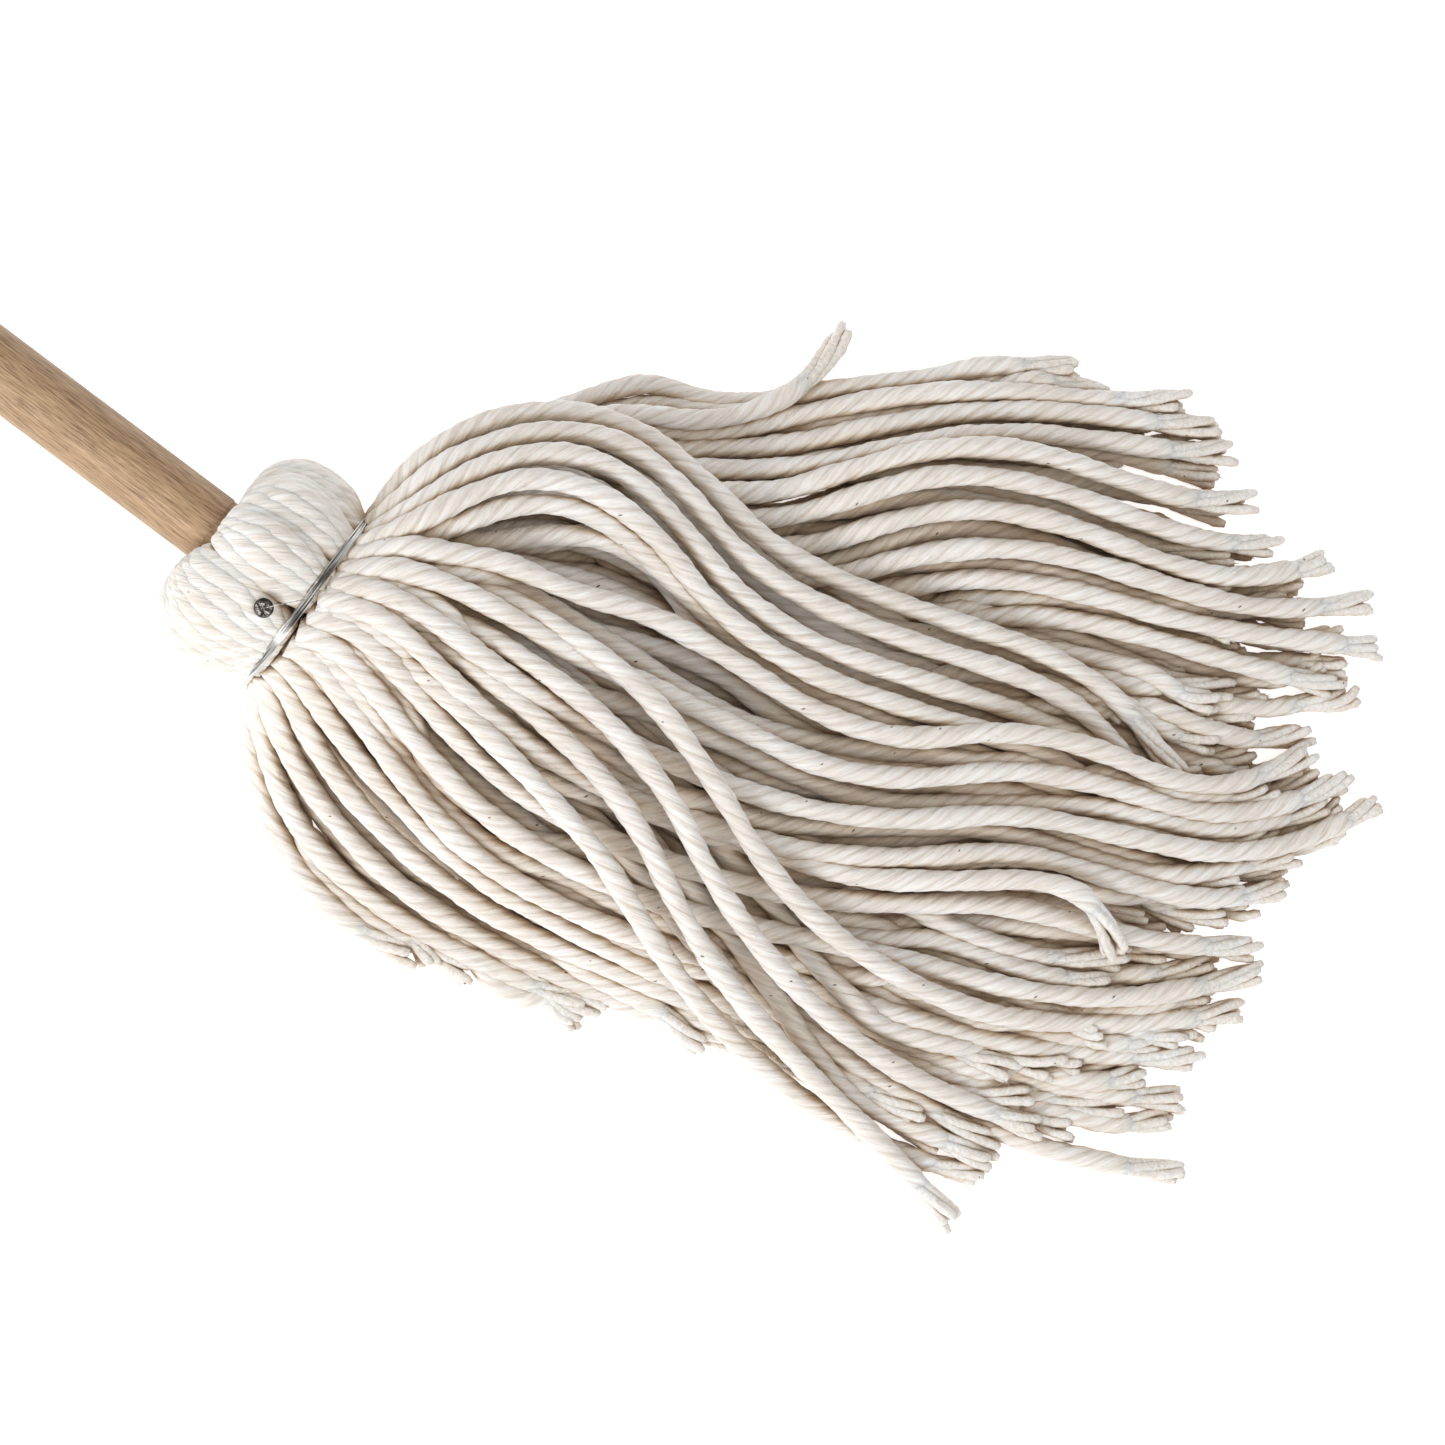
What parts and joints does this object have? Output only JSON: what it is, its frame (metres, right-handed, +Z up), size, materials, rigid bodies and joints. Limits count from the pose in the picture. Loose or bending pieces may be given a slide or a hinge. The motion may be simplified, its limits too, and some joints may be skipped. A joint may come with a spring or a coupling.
{
  "type": "string mop",
  "caption": "String mop: long round wooden handle with a wired head of thick twisted cotton yarn, folded into a plump collar and fanned out on the floor.",
  "frame": {"origin": "on the floor under the middle of the stick, as the mop lies on its collar and on the handle's far end", "axes": "+X along the floor from the handle's far end towards the head, +Z up from the floor, +Y to the left seen from the handle's far end"},
  "size_m": [1.5415, 0.3287, 0.0805],
  "materials": {
    "handle_wood": "sanded light wood, unvarnished",
    "cotton_yarn": "undyed twisted cotton, matte and fuzzy",
    "tie_wire": "bright drawn wire",
    "nail_steel": "dark polished steel"
  },
  "bodies": {
    "root": {"binding_nail": "nail_steel", "collar_loop_1": "cotton_yarn", "collar_loop_2": "cotton_yarn", "collar_loop_3": "cotton_yarn", "collar_loop_4": "cotton_yarn", "collar_loop_5": "cotton_yarn", "collar_loop_6": "cotton_yarn", "collar_loop_7": "cotton_yarn", "collar_loop_8": "cotton_yarn", "handle": "handle_wood", "inner_nail": "nail_steel", "inner_wire_tie": "tie_wire", "inner_yarn_layer": "cotton_yarn", "outer_wire_tie": "tie_wire", "yarn_arch_1": "cotton_yarn", "yarn_arch_2": "cotton_yarn", "yarn_arch_3": "cotton_yarn", "yarn_arch_4": "cotton_yarn", "yarn_arch_5": "cotton_yarn", "yarn_arch_6": "cotton_yarn", "yarn_bundle_lower": "cotton_yarn", "yarn_bundle_middle": "cotton_yarn", "yarn_bundle_right": "cotton_yarn", "yarn_crossing_1": "cotton_yarn", "yarn_crossing_2": "cotton_yarn", "yarn_crossing_3": "cotton_yarn", "yarn_crossing_4": "cotton_yarn", "yarn_edge_1": "cotton_yarn", "yarn_edge_2": "cotton_yarn", "yarn_edge_3": "cotton_yarn", "yarn_edge_4": "cotton_yarn", "yarn_edge_5": "cotton_yarn", "yarn_low_1": "cotton_yarn", "yarn_low_2": "cotton_yarn", "yarn_middle_1": "cotton_yarn", "yarn_middle_2": "cotton_yarn", "yarn_middle_3": "cotton_yarn", "yarn_middle_4": "cotton_yarn", "yarn_middle_5": "cotton_yarn", "yarn_middle_6": "cotton_yarn", "yarn_middle_7": "cotton_yarn", "yarn_neck_core": "cotton_yarn", "yarn_stray_1": "cotton_yarn", "yarn_stray_2": "cotton_yarn", "yarn_under_1": "cotton_yarn", "yarn_under_10": "cotton_yarn", "yarn_under_2": "cotton_yarn", "yarn_under_3": "cotton_yarn", "yarn_under_4": "cotton_yarn", "yarn_under_5": "cotton_yarn", "yarn_under_6": "cotton_yarn", "yarn_under_7": "cotton_yarn", "yarn_under_8": "cotton_yarn", "yarn_under_9": "cotton_yarn"}
  },
  "joints": []
}
